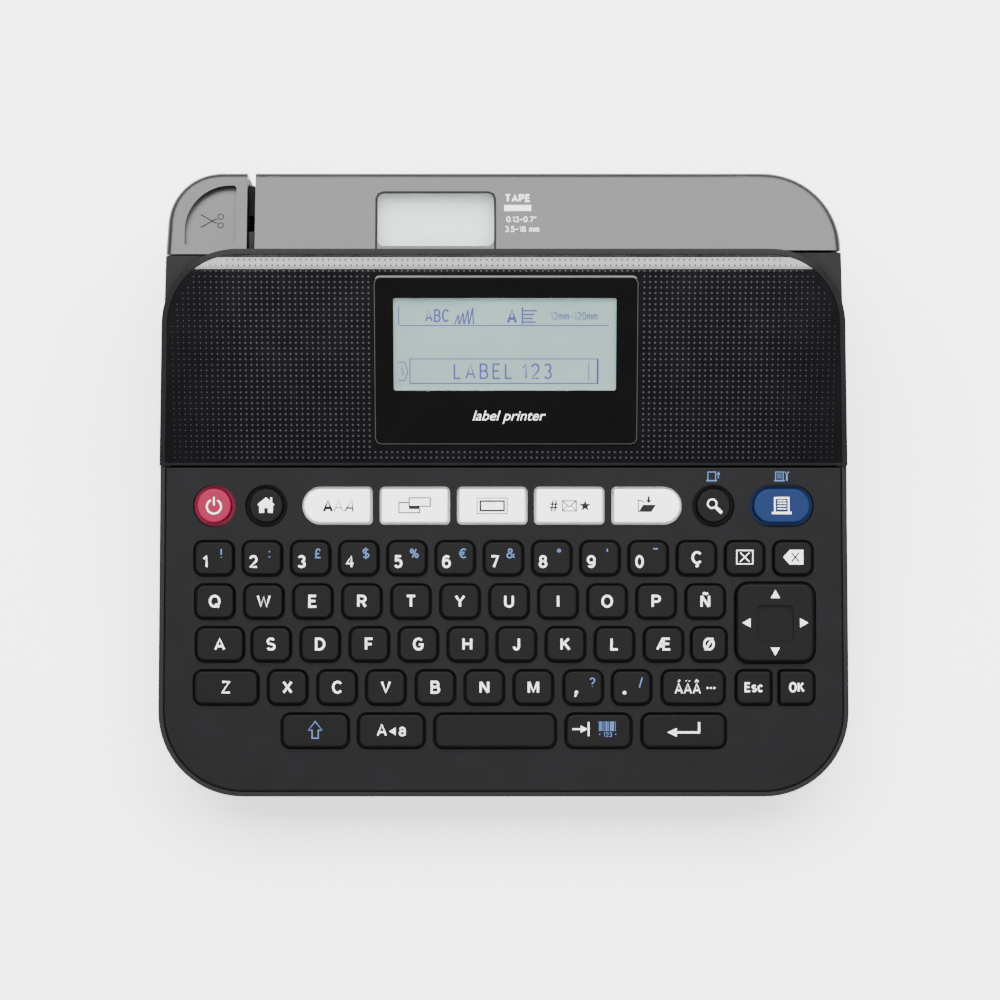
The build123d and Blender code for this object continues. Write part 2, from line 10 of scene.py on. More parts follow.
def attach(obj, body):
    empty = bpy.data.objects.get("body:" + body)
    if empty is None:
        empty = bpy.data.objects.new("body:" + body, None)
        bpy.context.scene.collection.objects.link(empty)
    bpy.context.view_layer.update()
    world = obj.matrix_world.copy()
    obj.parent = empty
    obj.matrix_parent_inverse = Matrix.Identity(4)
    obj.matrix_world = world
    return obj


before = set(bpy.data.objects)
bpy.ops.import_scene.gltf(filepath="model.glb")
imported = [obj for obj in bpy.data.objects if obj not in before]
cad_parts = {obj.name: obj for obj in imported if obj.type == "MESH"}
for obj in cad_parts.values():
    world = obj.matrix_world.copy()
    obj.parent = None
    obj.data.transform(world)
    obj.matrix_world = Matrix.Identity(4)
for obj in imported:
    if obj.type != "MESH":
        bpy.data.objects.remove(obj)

bl_info = {
    "name": "Desktop label printer",
    "version": (1, 0, 0),
    "blender": (4, 5, 0),
    "location": "3D View > Sidebar > Label printer",
    "description": "Finishes, legends and stage for a desktop label printer",
    "category": "Object",
}

MM = 0.001
BODY = "printer_body"
DECK_ANGLE, PANEL_ANGLE = math.radians(12.0), math.radians(13.8)
PANEL_U, PANEL_W = 90.7 * MM, 0.3 * MM
BEND_U, BEND_RADIUS = 143.5 * MM, 19.2 * MM
COVER_U = 148.0 * MM
# The deck's own frame: x to the right, u up the slope, w off the surface. The screen's lies on the panel.
DECK = Matrix.Translation((0, -0.089, 0.026)) @ Matrix.Rotation(DECK_ANGLE, 4, "X")
SCREEN = DECK @ Matrix.Translation((0, PANEL_U, PANEL_W)) @ Matrix.Rotation(PANEL_ANGLE, 4, "X")
KEY_TOP = 1.5
DPAD_TOP = 2.0


# --------------------------------------------------------------------------------------------
# Sizes and colours that a user would change
# --------------------------------------------------------------------------------------------
class LabelPrinterFinish(bpy.types.PropertyGroup):
    case_colour: FloatVectorProperty(
        name="Case colour", description="Moulded case and covers", subtype="COLOR", size=3,
        default=(0.0052, 0.0051, 0.0058), min=0, max=1)
    deck_colour: FloatVectorProperty(
        name="Deck colour", description="Plate around the keys", subtype="COLOR", size=3,
        default=(0.0046, 0.0044, 0.0051), min=0, max=1)
    key_colour: FloatVectorProperty(
        name="Key colour", description="Soft dark keys", subtype="COLOR", size=3,
        default=(0.0036, 0.0034, 0.0034), min=0, max=1)
    power_colour: FloatVectorProperty(
        name="Power key colour", description="On and off key", subtype="COLOR", size=3,
        default=(0.17, 0.0012, 0.024), min=0, max=1)
    print_colour: FloatVectorProperty(
        name="Print key colour", description="Print key", subtype="COLOR", size=3,
        default=(0.0035, 0.013, 0.056), min=0, max=1)
    shifted_colour: FloatVectorProperty(
        name="Second legend colour", description="Signs reached with the shift key", subtype="COLOR", size=3,
        default=(0.022, 0.075, 0.23), min=0, max=1)
    grain: FloatProperty(
        name="Plastic grain", description="Width of one grain of the moulded texture",
        default=0.0004, min=0.0001, max=0.002, unit="LENGTH")


class LabelPrinterLegends(bpy.types.PropertyGroup):
    letter_height: FloatProperty(
        name="Letter height", description="Height of the capitals on the keys",
        default=0.0035, min=0.002, max=0.005, unit="LENGTH")
    digit_height: FloatProperty(
        name="Digit height", description="Height of the digits", default=0.0035,
        min=0.002, max=0.006, unit="LENGTH")
    shifted_height: FloatProperty(
        name="Second sign height", description="Height of the small signs",
        default=0.0027, min=0.002, max=0.005, unit="LENGTH")
    ink_lift: FloatProperty(
        name="Ink lift", description="Height of the print above the key", default=0.00003, min=0.00001,
        max=0.0002, unit="LENGTH")


class LabelPrinterDots(bpy.types.PropertyGroup):
    pitch: FloatProperty(
        name="Dot pitch", description="Distance between dots", default=0.00153,
        min=0.001, max=0.004, unit="LENGTH")
    radius: FloatProperty(
        name="Dot radius", description="Radius of a dot at the middle of the panel",
        default=0.00028, min=0.0001, max=0.001, unit="LENGTH")
    fade_start: FloatProperty(
        name="Fade start", description="Distance from the middle where dots begin to shrink",
        default=0.070, min=0.02, max=0.09, unit="LENGTH")
    sides: IntProperty(name="Dot corners", description="Corners of one dot", default=10, min=5, max=24)


class LabelPrinterScreen(bpy.types.PropertyGroup):
    line_one: StringProperty(
        name="Screen text", description="Words shown in the screen's box", default="LABEL 123")
    # The screen colour also drives the screen's painted glow.
    face_colour: FloatVectorProperty(
        name="Screen colour", description="Face of the screen, also its painted glow", subtype="COLOR", size=3,
        default=(0.20, 0.285, 0.275), min=0, max=1)
    ink_colour: FloatVectorProperty(
        name="Screen ink", description="Dark picture points of the screen", subtype="COLOR", size=3,
        default=(0.035, 0.030, 0.22), min=0, max=1)


class LabelPrinterStage(bpy.types.PropertyGroup):
    floor_colour: FloatVectorProperty(
        name="Floor colour", description="Pale floor", subtype="COLOR", size=3, default=(0.93, 0.935, 0.95),
        min=0, max=1)
    camera_distance: FloatProperty(
        name="Camera distance", description="Camera to the keyboard deck", default=1.0, min=0.3, max=3.0,
        unit="LENGTH")
    key_power: FloatProperty(
        name="Overhead light", description="Power of the large light behind", default=112.0,
        min=0, max=500, unit="POWER")
    strip_power: FloatProperty(
        name="Strip light", description="Power of the narrow light over the display", default=16.0,
        min=0, max=500, unit="POWER")


# --------------------------------------------------------------------------------------------
# Materials
# --------------------------------------------------------------------------------------------
def new_material(name):
    mat = bpy.data.materials.new(name)
    mat.use_nodes = True
    tree = mat.node_tree
    shader = tree.nodes["Principled BSDF"]
    return mat, tree, shader


def moulded(name, colour, rough=0.5, grain=0.0004, depth=0.00001, mottle=0.12, specular=0.5, coat=0.0):
    """Moulded plastic or rubber: fine surface grain, slightly uneven colour and gloss."""
    mat, tree, shader = new_material(name)
    n, link = tree.nodes, tree.links
    where = n.new("ShaderNodeTexCoord")
    grit = n.new("ShaderNodeTexNoise")
    grit.inputs["Scale"].default_value = 1 / grain
    grit.inputs["Detail"].default_value = 3
    link.new(where.outputs["Object"], grit.inputs["Vector"])
    bump = n.new("ShaderNodeBump")
    bump.inputs["Strength"].default_value = 0.6
    bump.inputs["Distance"].default_value = depth
    link.new(grit.outputs["Fac"], bump.inputs["Height"])
    link.new(bump.outputs["Normal"], shader.inputs["Normal"])
    cloud = n.new("ShaderNodeTexNoise")
    cloud.inputs["Scale"].default_value = 90
    cloud.inputs["Detail"].default_value = 5
    link.new(where.outputs["Object"], cloud.inputs["Vector"])
    both = n.new("ShaderNodeMath")
    both.operation = "MULTIPLY_ADD"
    both.inputs[1].default_value = 0.6
    link.new(grit.outputs["Fac"], both.inputs[0])
    link.new(cloud.outputs["Fac"], both.inputs[2])
    ramp = n.new("ShaderNodeValToRGB")
    ramp.color_ramp.elements[0].position = 0.5
    ramp.color_ramp.elements[1].position = 1.0
    ramp.color_ramp.elements[0].color = [c * (1 - mottle) for c in colour] + [1]
    ramp.color_ramp.elements[1].color = [min(1, c * (1 + mottle)) for c in colour] + [1]
    link.new(both.outputs[0], ramp.inputs["Fac"])
    link.new(ramp.outputs["Color"], shader.inputs["Base Color"])
    gloss = n.new("ShaderNodeMapRange")
    gloss.inputs["To Min"].default_value = max(0.02, rough - 0.05)
    gloss.inputs["To Max"].default_value = min(1.0, rough + 0.05)
    link.new(cloud.outputs["Fac"], gloss.inputs["Value"])
    link.new(gloss.outputs["Result"], shader.inputs["Roughness"])
    shader.inputs["Specular IOR Level"].default_value = specular
    shader.inputs["Coat Weight"].default_value = coat
    shader.inputs["Coat Roughness"].default_value = 0.03
    return mat


def metal(name, colour, rough, stretch=(1, 1, 1)):
    """Bare metal with fine drawn or ground lines."""
    mat, tree, shader = new_material(name)
    n, link = tree.nodes, tree.links
    where = n.new("ShaderNodeTexCoord")
    turn = n.new("ShaderNodeMapping")
    turn.inputs["Scale"].default_value = stretch
    lines = n.new("ShaderNodeTexNoise")
    lines.inputs["Scale"].default_value = 1500
    lines.inputs["Detail"].default_value = 4
    link.new(where.outputs["Object"], turn.inputs["Vector"])
    link.new(turn.outputs["Vector"], lines.inputs["Vector"])
    ramp = n.new("ShaderNodeValToRGB")
    ramp.color_ramp.elements[0].color = [c * 0.8 for c in colour] + [1]
    ramp.color_ramp.elements[1].color = list(colour) + [1]
    link.new(lines.outputs["Fac"], ramp.inputs["Fac"])
    link.new(ramp.outputs["Color"], shader.inputs["Base Color"])
    gloss = n.new("ShaderNodeMapRange")
    gloss.inputs["To Min"].default_value = rough * 0.7
    gloss.inputs["To Max"].default_value = rough * 1.3
    link.new(lines.outputs["Fac"], gloss.inputs["Value"])
    link.new(gloss.outputs["Result"], shader.inputs["Roughness"])
    shader.inputs["Metallic"].default_value = 1.0
    return mat


def clear_plastic(name, tint=(0.97, 0.985, 0.98)):
    mat, tree, shader = new_material(name)
    n, link = tree.nodes, tree.links
    where = n.new("ShaderNodeTexCoord")
    haze = n.new("ShaderNodeTexNoise")
    haze.inputs["Scale"].default_value = 60
    link.new(where.outputs["Object"], haze.inputs["Vector"])
    gloss = n.new("ShaderNodeMapRange")
    gloss.inputs["To Min"].default_value = 0.0
    gloss.inputs["To Max"].default_value = 0.05
    link.new(haze.outputs["Fac"], gloss.inputs["Value"])
    link.new(gloss.outputs["Result"], shader.inputs["Roughness"])
    shader.inputs["Base Color"].default_value = (*tint, 1)
    shader.inputs["Transmission Weight"].default_value = 1.0
    shader.inputs["IOR"].default_value = 1.2
    return mat


def glowing(name, colour, strength, mottle=0.05):
    mat = moulded(name, colour, 0.5, 0.0003, 0.000002, mottle)
    shader = mat.node_tree.nodes["Principled BSDF"]
    ramp = mat.node_tree.nodes["Color Ramp"]
    mat.node_tree.links.new(ramp.outputs["Color"], shader.inputs["Emission Color"])
    shader.inputs["Emission Strength"].default_value = strength
    return mat


def paint_node(names, mat):
    """Puts a finish on CAD nodes, which keep their shape."""
    for name in names:
        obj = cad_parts[name]
        if not obj.material_slots:
            obj.data.materials.append(mat)
        for s in obj.material_slots:
            s.material = mat


# --------------------------------------------------------------------------------------------
# Flat print: letters and line drawings, laid on a surface
# --------------------------------------------------------------------------------------------
# Each sign is strokes parted by |, on a grid 100 high: x,y for a corner, or @cx,cy,rx,ry,from,to for an arc.
GLYPHS = {
    "A": "0,0 37,100 74,0|14,30 60,30",
    "B": "0,52 0,100 34,100 @34,76,22,24,90,-90 0,52|34,52 @36,26,26,26,90,-90 0,0 0,52",
    "C": "@38,50,38,50,42,318",
    "D": "0,50 0,100 26,100 @26,50,42,50,90,-90 0,0 0,50",
    "E": "56,100 0,100 0,0 58,0|0,52 50,52",
    "F": "54,100 0,100 0,0|0,50 48,50",
    "G": "@38,50,38,50,44,320 72,46 42,46",
    "H": "0,0 0,100|64,0 64,100|0,52 64,52",
    "I": "0,0 0,100",
    "J": "42,100 42,28 @21,28,21,28,0,-175",
    "K": "0,0 0,100|60,100 0,36|22,60 66,0",
    "L": "0,100 0,0 52,0",
    "M": "0,0 0,100|4,100 39,8 74,100|78,100 78,0",
    "N": "0,0 0,100|2,100 62,0|64,0 64,100",
    "O": "@40,50,40,50,0,360",
    "P": "0,0 0,100 34,100 @34,73,26,27,90,-90 0,46",
    "Q": "@40,50,40,50,0,360|46,26 76,-6",
    "R": "0,0 0,100 34,100 @34,74,26,26,90,-90 0,48|34,48 60,0",
    "S": "@30,75,27,25,28,270 @30,25,31,25,90,-152",
    "T": "0,100 68,100|34,100 34,0",
    "U": "0,100 0,32 @32,32,32,32,180,360 64,100",
    "V": "0,100 34,0 68,100",
    "W": "0,100 25,0 50,92 75,0 100,100",
    "X": "0,100 66,0|0,0 66,100",
    "Y": "0,100 35,46 70,100|35,46 35,0",
    "Z": "2,100 62,100 0,0 66,0",
    "Æ": "0,0 46,100 106,100|54,100 54,0 108,0|54,52 100,52|15,30 54,30",
    "Ø": "@40,50,40,50,0,360|6,-6 74,106",
    "Ç": "@38,50,38,50,42,318|40,0 38,-12 @35,-22,9,9,70,-140",
    "Ñ": "0,0 0,100|2,100 62,0|64,0 64,100|12,118 26,127 40,118 54,127",
    "Á": "0,0 37,100 74,0|14,30 60,30|30,116 48,134",
    "Ä": "0,0 37,100 74,0|14,30 60,30|20,120 20,128|54,120 54,128",
    "Â": "0,0 37,100 74,0|14,30 60,30|18,114 37,132 56,114",
    "a": "4,52 @24,48,22,22,150,0 46,0|@23,20,23,20,0,360",
    "c": "@27,35,27,35,42,318",
    "s": "@22,53,20,17,30,270 @22,18,22,18,90,-150",
    "0": "@30,50,30,50,0,360",
    "1": "0,76 26,100 26,0",
    "2": "@30,70,30,30,165,-38 0,0 62,0",
    "3": "@28,75,26,25,150,-90 @28,25,30,25,90,-150",
    "4": "46,0 46,100 0,32 64,32",
    "5": "56,100 10,100 5,54 @29,33,31,33,138,-150",
    "6": "@32,50,32,50,48,180 0,34|@31,32,31,32,0,360",
    "7": "0,100 60,100 22,0",
    "8": "@30,76,25,24,0,360|@30,26,30,26,0,360",
    "9": "@31,68,31,32,0,360|@30,50,32,50,-132,0 62,66",
    "!": "0,100 0,34|0,8 0,0",
    ":": "0,78 0,62|0,16 0,0",
    "£": "56,82 @34,74,20,26,25,180 14,0|0,0 60,0|0,46 46,46",
    "$": "@30,75,27,25,28,270 @30,25,31,25,90,-152|30,116 30,-16",
    "%": "@14,77,14,21,0,360|@66,23,14,21,0,360|60,100 20,0",
    "€": "@44,50,36,50,48,312|-4,62 54,62|-4,40 50,40",
    "&": "78,0 20,68 @34,80,19,20,220,-40 @28,26,27,27,115,330 76,44",
    "*": "20,104 20,60|1,93 39,71|1,71 39,93",
    "'": "0,104 0,70",
    "-": "0,46 50,46",
    "¯": "0,104 50,104",
    "?": "@28,74,26,26,165,-55 28,40 28,28|28,6 28,0",
    "/": "0,-8 34,108",
    ",": "2,6 2,0 -6,-16",
    ".": "0,6 0,0",
    "#": "20,0 34,100|52,0 66,100|6,66 82,66|2,34 78,34",
    "m": "0,0 0,70|@19,48,19,22,180,0 38,0|@57,48,19,22,180,0 76,0",
    "\"": "0,104 0,74|26,104 26,74",
}


def glyph_strokes(sign):
    strokes = []
    for part in GLYPHS[sign].split("|"):
        points = []
        for token in part.split():
            if token[0] != "@":
                points.append(tuple(float(v) for v in token.split(",")))
                continue
            cx, cy, rx, ry, a0, a1 = (float(v) for v in token[1:].split(","))
            steps = max(6, round(abs(a1 - a0) / 15))
            for i in range(steps + 1):
                a = math.radians(a0 + (a1 - a0) * i / steps)
                points.append((cx + rx * math.cos(a), cy + ry * math.sin(a)))
        closed = math.dist(points[0], points[-1]) < 1
        kept = [q for i, q in enumerate(points) if i == 0 or math.dist(q, points[i - 1]) > 0.5]
        strokes.append((kept[:-1] if closed else kept, closed))
    return strokes


class Ink:
    """Collects flat shapes drawn in millimetres on one surface, then makes one mesh of them."""

    def __init__(self, name, place, lift, body, mat, slot):
        self.bm = bmesh.new()
        self.name, self.place, self.lift = name, place, lift
        self.body, self.mat, self.slot = body, mat, slot

    def polygon(self, points):
        verts = [self.bm.verts.new((x * MM, y * MM, 0)) for x, y in points]
        face = self.bm.faces.new(verts)
        face.normal_update()
        if face.normal.z < 0:
            face.normal_flip()

    def rect(self, x0, y0, x1, y1):
        self.polygon([(x0, y0), (x1, y0), (x1, y1), (x0, y1)])

    def frame_line(self, x0, y0, x1, y1, width):
        self.stroke([(x0, y0), (x1, y0), (x1, y1), (x0, y1)], width, True)

    def cut_corner_line(self, x0, y0, x1, y1, cut, step, width):
        """A closed line round a box, its corners cut in three short sides."""
        corners = ((x0, y0, 1, 1), (x1, y0, -1, 1), (x1, y1, -1, -1), (x0, y1, 1, -1))
        points = []
        for i, (x, y, a, b) in enumerate(corners):
            turn = [(x, y + b * cut), (x + a * step, y + b * step), (x + a * cut, y)]
            points += turn if i % 2 == 0 else turn[::-1]
        self.stroke(points, width, True)

    def disc(self, x, y, r, sides=16):
        self.polygon([(x + r * math.cos(math.tau * i / sides), y + r * math.sin(math.tau * i / sides))
                      for i in range(sides)])

    def stroke(self, points, width, closed=False):
        """A line of even width with mitred corners."""
        pts = [Vector(p) for p in points]
        count = len(pts)
        left, right = [], []
        for i, p in enumerate(pts):
            before = pts[i - 1] if (closed or i) else None
            after = pts[(i + 1) % count] if (closed or i < count - 1) else None
            d0 = (p - before).normalized() if before is not None else (after - p).normalized()
            d1 = (after - p).normalized() if after is not None else d0
            n0, n1 = Vector((-d0.y, d0.x)), Vector((-d1.y, d1.x))
            m = (n0 + n1)
            m = m / max(m.length_squared, 1.8) * 2 if m.length > 1e-6 else n0
            left.append(p + m * width / 2)
            right.append(p - m * width / 2)
        for i in range(count if closed else count - 1):
            j = (i + 1) % count
            self.polygon([left[i], right[i], right[j], left[j]])

    def arc(self, x, y, r, a0, a1, width, steps=20):
        pts = [(x + r * math.cos(math.radians(a0 + (a1 - a0) * i / steps)),
                y + r * math.sin(math.radians(a0 + (a1 - a0) * i / steps))) for i in range(steps + 1)]
        if abs(a1 - a0) >= 360:
            self.stroke(pts[:-1], width, closed=True)
        else:
            self.stroke(pts, width)

    def letters(self, words, x, y, height, weight, squeeze=1.0, shear=0.0, gap=0.0):
        """Words in plain strokes, centred on x and y: height of a capital, weight of its strokes."""
        scale = (height - weight) / 100
        at, placed = 0.0, []
        for sign in words:
            if sign == " ":
                at += height * 0.45 * squeeze
                continue
            strokes = glyph_strokes(sign)
            xs = [p[0] for pts, _ in strokes for p in pts]
            placed.append((at - min(xs) * scale * squeeze, strokes))
            at += (max(xs) - min(xs)) * scale * squeeze + weight + gap + height * 0.09
        start = x - (at - weight - gap - height * 0.09) / 2
        for shift, strokes in placed:
            for pts, closed in strokes:
                self.stroke([(start + shift + (a + b * shear) * scale * squeeze, y + (b - 50) * scale)
                             for a, b in pts], weight, closed)

    def text(self, words, x, y, size, shear):
        """Words in the built-in typeface, leaning by shear."""
        curve = bpy.data.curves.new("letters", "FONT")
        curve.body = words
        curve.size = size
        curve.align_x = "CENTER"
        curve.align_y = "CENTER"
        curve.shear = shear
        curve.resolution_u = 4
        obj = bpy.data.objects.new("letters", curve)
        bpy.context.scene.collection.objects.link(obj)
        depsgraph = bpy.context.evaluated_depsgraph_get()
        mesh = bpy.data.meshes.new_from_object(obj.evaluated_get(depsgraph))
        ys = [v.co.y for v in mesh.vertices]
        mesh.transform(Matrix.Translation((x * MM, y * MM - (max(ys) + min(ys)) / 2, 0)))
        self.bm.from_mesh(mesh)
        bpy.data.objects.remove(obj)
        bpy.data.meshes.remove(mesh)
        bpy.data.curves.remove(curve)

    def done(self):
        for face in self.bm.faces:
            if face.normal.z < 0:
                face.normal_flip()
        mesh = bpy.data.meshes.new(self.name)
        self.bm.to_mesh(mesh)
        self.bm.free()
        mesh.transform(self.place @ Matrix.Translation((0, 0, self.lift)))
        mesh.materials.append(self.mat)
        obj = bpy.data.objects.new(self.name, mesh)
        bpy.context.scene.collection.objects.link(obj)
        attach(obj, self.body)
        return obj


MATS = {}
NUMBER_U, UPPER_U, MIDDLE_U, LOWER_U, SPACE_U, FUNCTION_U = 65.6, 53.7, 41.95, 30.1, 18.2, 80.0


def key_ink(name, body, mat, top=KEY_TOP):
    lift = bpy.context.scene.printer_legends.ink_lift
    return Ink(name, DECK @ Matrix.Translation((0, 0, top * MM)), lift, body, MATS[mat], "key_white")


def letter_row(name, body, words, xs, u, size):
    ink = key_ink(name, body, "white_ink")
    for word, x in zip(words, xs):
        ink.letters(word, x, u + 0.1, size, size * 0.165, 1.1)
    return ink


# --------------------------------------------------------------------------------------------
# Operators
# --------------------------------------------------------------------------------------------
class PRINTER_OT_finishes(bpy.types.Operator):
    """Put the moulded, rubber, metal and clear finishes on the printer's own parts"""
    bl_idname = "printer.finishes"
    bl_label = "Finishes"

    def execute(self, context):
        f = context.scene.printer_finish
        grain = f.grain
        case = moulded("Moulded case", f.case_colour, 0.46, grain, 0.00003, 0.18, 0.1)
        # Painted sheen: the rear cover and cutter lever take the case colour made 1.6 times lighter,
        # standing in for the back light they reflect.
        sheen_lightened_case = [c * 1.6 for c in f.case_colour]
        cover = moulded("Textured cover with painted sheen", sheen_lightened_case, 0.36, grain * 1.3, 0.00004, 0.25, 0.46)
        deck = moulded("Keyboard deck", f.deck_colour, 0.5, grain, 0.00003, 0.25, 0.06)
        soft = moulded("Soft key", f.key_colour, 0.46, grain * 0.7, 0.000008, 0.12, 0.05)
        gloss = moulded(
            "Dotted display panel", (0.0022, 0.0021, 0.0028), 0.12, grain * 4, 0.0000005, 0.1, 0.5, 0.6)
        bezel = moulded("Screen bezel", (0.0022, 0.0019, 0.0017), 0.06, grain * 6, 0.0000003, 0.1, 0.5, 0.5)
        white_key = moulded("White key", (0.93, 0.94, 0.95), 0.38, grain * 2, 0.000004, 0.02)
        pink = moulded("Power key", f.power_colour, 0.4, grain * 2, 0.000004, 0.05, 0.1)
        blue = moulded("Print key", f.print_colour, 0.4, grain * 2, 0.000004, 0.06, 0.06)
        MATS["white_ink"] = moulded("White print", (0.88, 0.88, 0.88), 0.5, 0.0003, 0.000001, 0.02)
        MATS["blue_ink"] = moulded("Second print", f.shifted_colour, 0.5, 0.0003, 0.000001, 0.04)
        MATS["dark_ink"] = moulded("Dark print", (0.004, 0.004, 0.004), 0.5, 0.0003, 0.000001, 0.1, 0.1)
        MATS["grey_ink"] = moulded("Pale print", (0.72, 0.73, 0.73), 0.5, 0.0003, 0.000001, 0.05)
        MATS["edge_ink"] = moulded("Painted edge highlight", (0.03, 0.028, 0.026), 0.25, 0.0003, 0.000001, 0.1)
        s = context.scene.printer_screen
        MATS["lcd_ink"] = moulded("Screen ink", s.ink_colour, 0.4, 0.0002, 0.000001, 0.12)
        keys = [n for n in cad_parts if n.startswith("key_") and n != "key_mat"]
        paint_node(keys + ["dpad"], soft)
        for names, mat in (
            (["lower_case", "battery_cover", "display_housing"], case),
            (["back_cover", "cutter_lever"], cover),
            (["keyboard_deck"], deck),
            (["display_panel"], gloss),
            (["display_lens"], bezel),
            (["lcd_glass"], clear_plastic("Screen glass")),
            (["cover_window"], clear_plastic("Window pane", (0.9, 0.95, 0.94))),
            # Painted glow: the screen's face emits a little of its own colour, standing in for light that
            # the clear glass above keeps from it.
            (["lcd_module"], glowing("Screen with painted glow", s.face_colour, 0.35)),
            (["key_font", "key_layout", "key_frame", "key_symbol", "key_file"], white_key),
            (["key_power"], pink),
            (["key_print"], blue),
            (["rubber_feet", "platen_roller"], moulded("Rubber", (0.02, 0.02, 0.02), 0.75, grain, 0.00003)),
            (["key_mat"], moulded("Silicone mat", (0.03, 0.03, 0.033), 0.6, grain * 2, 0.00001)),
            (["keypad_board", "main_board"],
             moulded("Circuit board", (0.012, 0.09, 0.045), 0.35, grain, 0.000008)),
            (["chassis_frame", "dpad_pivot", "power_jack"],
             moulded("Inner plastic", (0.035, 0.035, 0.038), 0.6)),
            (["cassette_case"], moulded("Cassette plastic", (0.012, 0.012, 0.013), 0.38, grain, 0.00001)),
            (["tape_reel"], moulded("Wound tape", (0.8, 0.8, 0.78), 0.5, 0.0002, 0.00002, 0.08)),
            (["ribbon_spool"], moulded("Wound ribbon", (0.01, 0.01, 0.012), 0.25, 0.0002, 0.00002)),
            (["motor_pinion", "idler_gear", "spindle_gear"],
             moulded("Gear plastic", (0.72, 0.70, 0.63), 0.45)),
            (["batteries"], moulded("Cell wrapper", (0.03, 0.05, 0.09), 0.3, 0.001, 0.000002, 0.1)),
            (["fixed_blade", "cutter_blade", "case_screws"],
             metal("Ground steel", (0.6, 0.6, 0.62), 0.28, (1, 8, 1))),
            (["lever_spring", "battery_contacts", "usb_socket"],
             metal("Plated steel", (0.7, 0.69, 0.66), 0.22)),
            (["head_arm", "drive_motor"], metal("Cast alloy", (0.62, 0.63, 0.64), 0.4)),
            (["print_head"], moulded("Ceramic head", (0.62, 0.58, 0.5), 0.2, 0.0006, 0.000002)),
        ):
            paint_node(names, mat)
        return {"FINISHED"}


class PRINTER_OT_letter_keys(bpy.types.Operator):
    """Print the letters, digits and signs on the typing keys"""
    bl_idname = "printer.letter_keys"
    bl_label = "Letter keys"

    def execute(self, context):
        sizes = context.scene.printer_legends
        h, digit_h = sizes.letter_height / MM, sizes.digit_height / MM
        sign_h = sizes.shifted_height / MM
        numbers = key_ink("legend_numbers", "key_row_numbers", "white_ink")
        signs = key_ink("legend_signs", "key_row_numbers", "blue_ink")
        for i, (digit, sign) in enumerate(zip("1234567890", "!:£$%€&*'¯")):
            x = -79.5 + 13.25 * i
            numbers.letters(digit, x - 2.4, NUMBER_U - 0.9, digit_h, 0.56, 0.98)
            signs.letters(sign, x + 2.0, NUMBER_U + 1.35, sign_h, 0.36, 1.1)
        numbers.letters("Ç", -79.5 + 132.5, NUMBER_U + 0.2, h, h * 0.165, 1.1)
        numbers.done()
        signs.done()
        letter_row("legend_upper", "key_row_upper", list("QWERTYUIOP") + ["Ñ"],
                   [-79.3 + 13.47 * i for i in range(11)], UPPER_U, h).done()
        letter_row("legend_middle", "key_row_middle", list("ASDFGHJKLÆØ"),
                   [-77.9] + [-63.8 + 13.47 * i for i in range(9)] + [56.4], MIDDLE_U, h).done()
        lower = letter_row("legend_lower", "key_row_lower", list("ZXCVBNM"),
                           [-76.2, -59.3, -45.7, -32.3, -18.7, -5.25, 8.2], LOWER_U, h)
        lower.disc(20.0, LOWER_U - 1.3, 0.45)
        lower.polygon([(20.44, LOWER_U - 1.3), (19.9, LOWER_U - 2.5), (19.45, LOWER_U - 2.5),
                       (19.8, LOWER_U - 1.4)])
        lower.disc(33.2, LOWER_U - 1.4, 0.48)
        lower.done()
        marks = key_ink("legend_lower_signs", "key_row_lower", "blue_ink")
        marks.letters("?", 24.4, LOWER_U + 1.4, sign_h, 0.34)
        marks.letters("/", 37.7, LOWER_U + 1.4, sign_h, 0.34)
        marks.done()
        return {"FINISHED"}


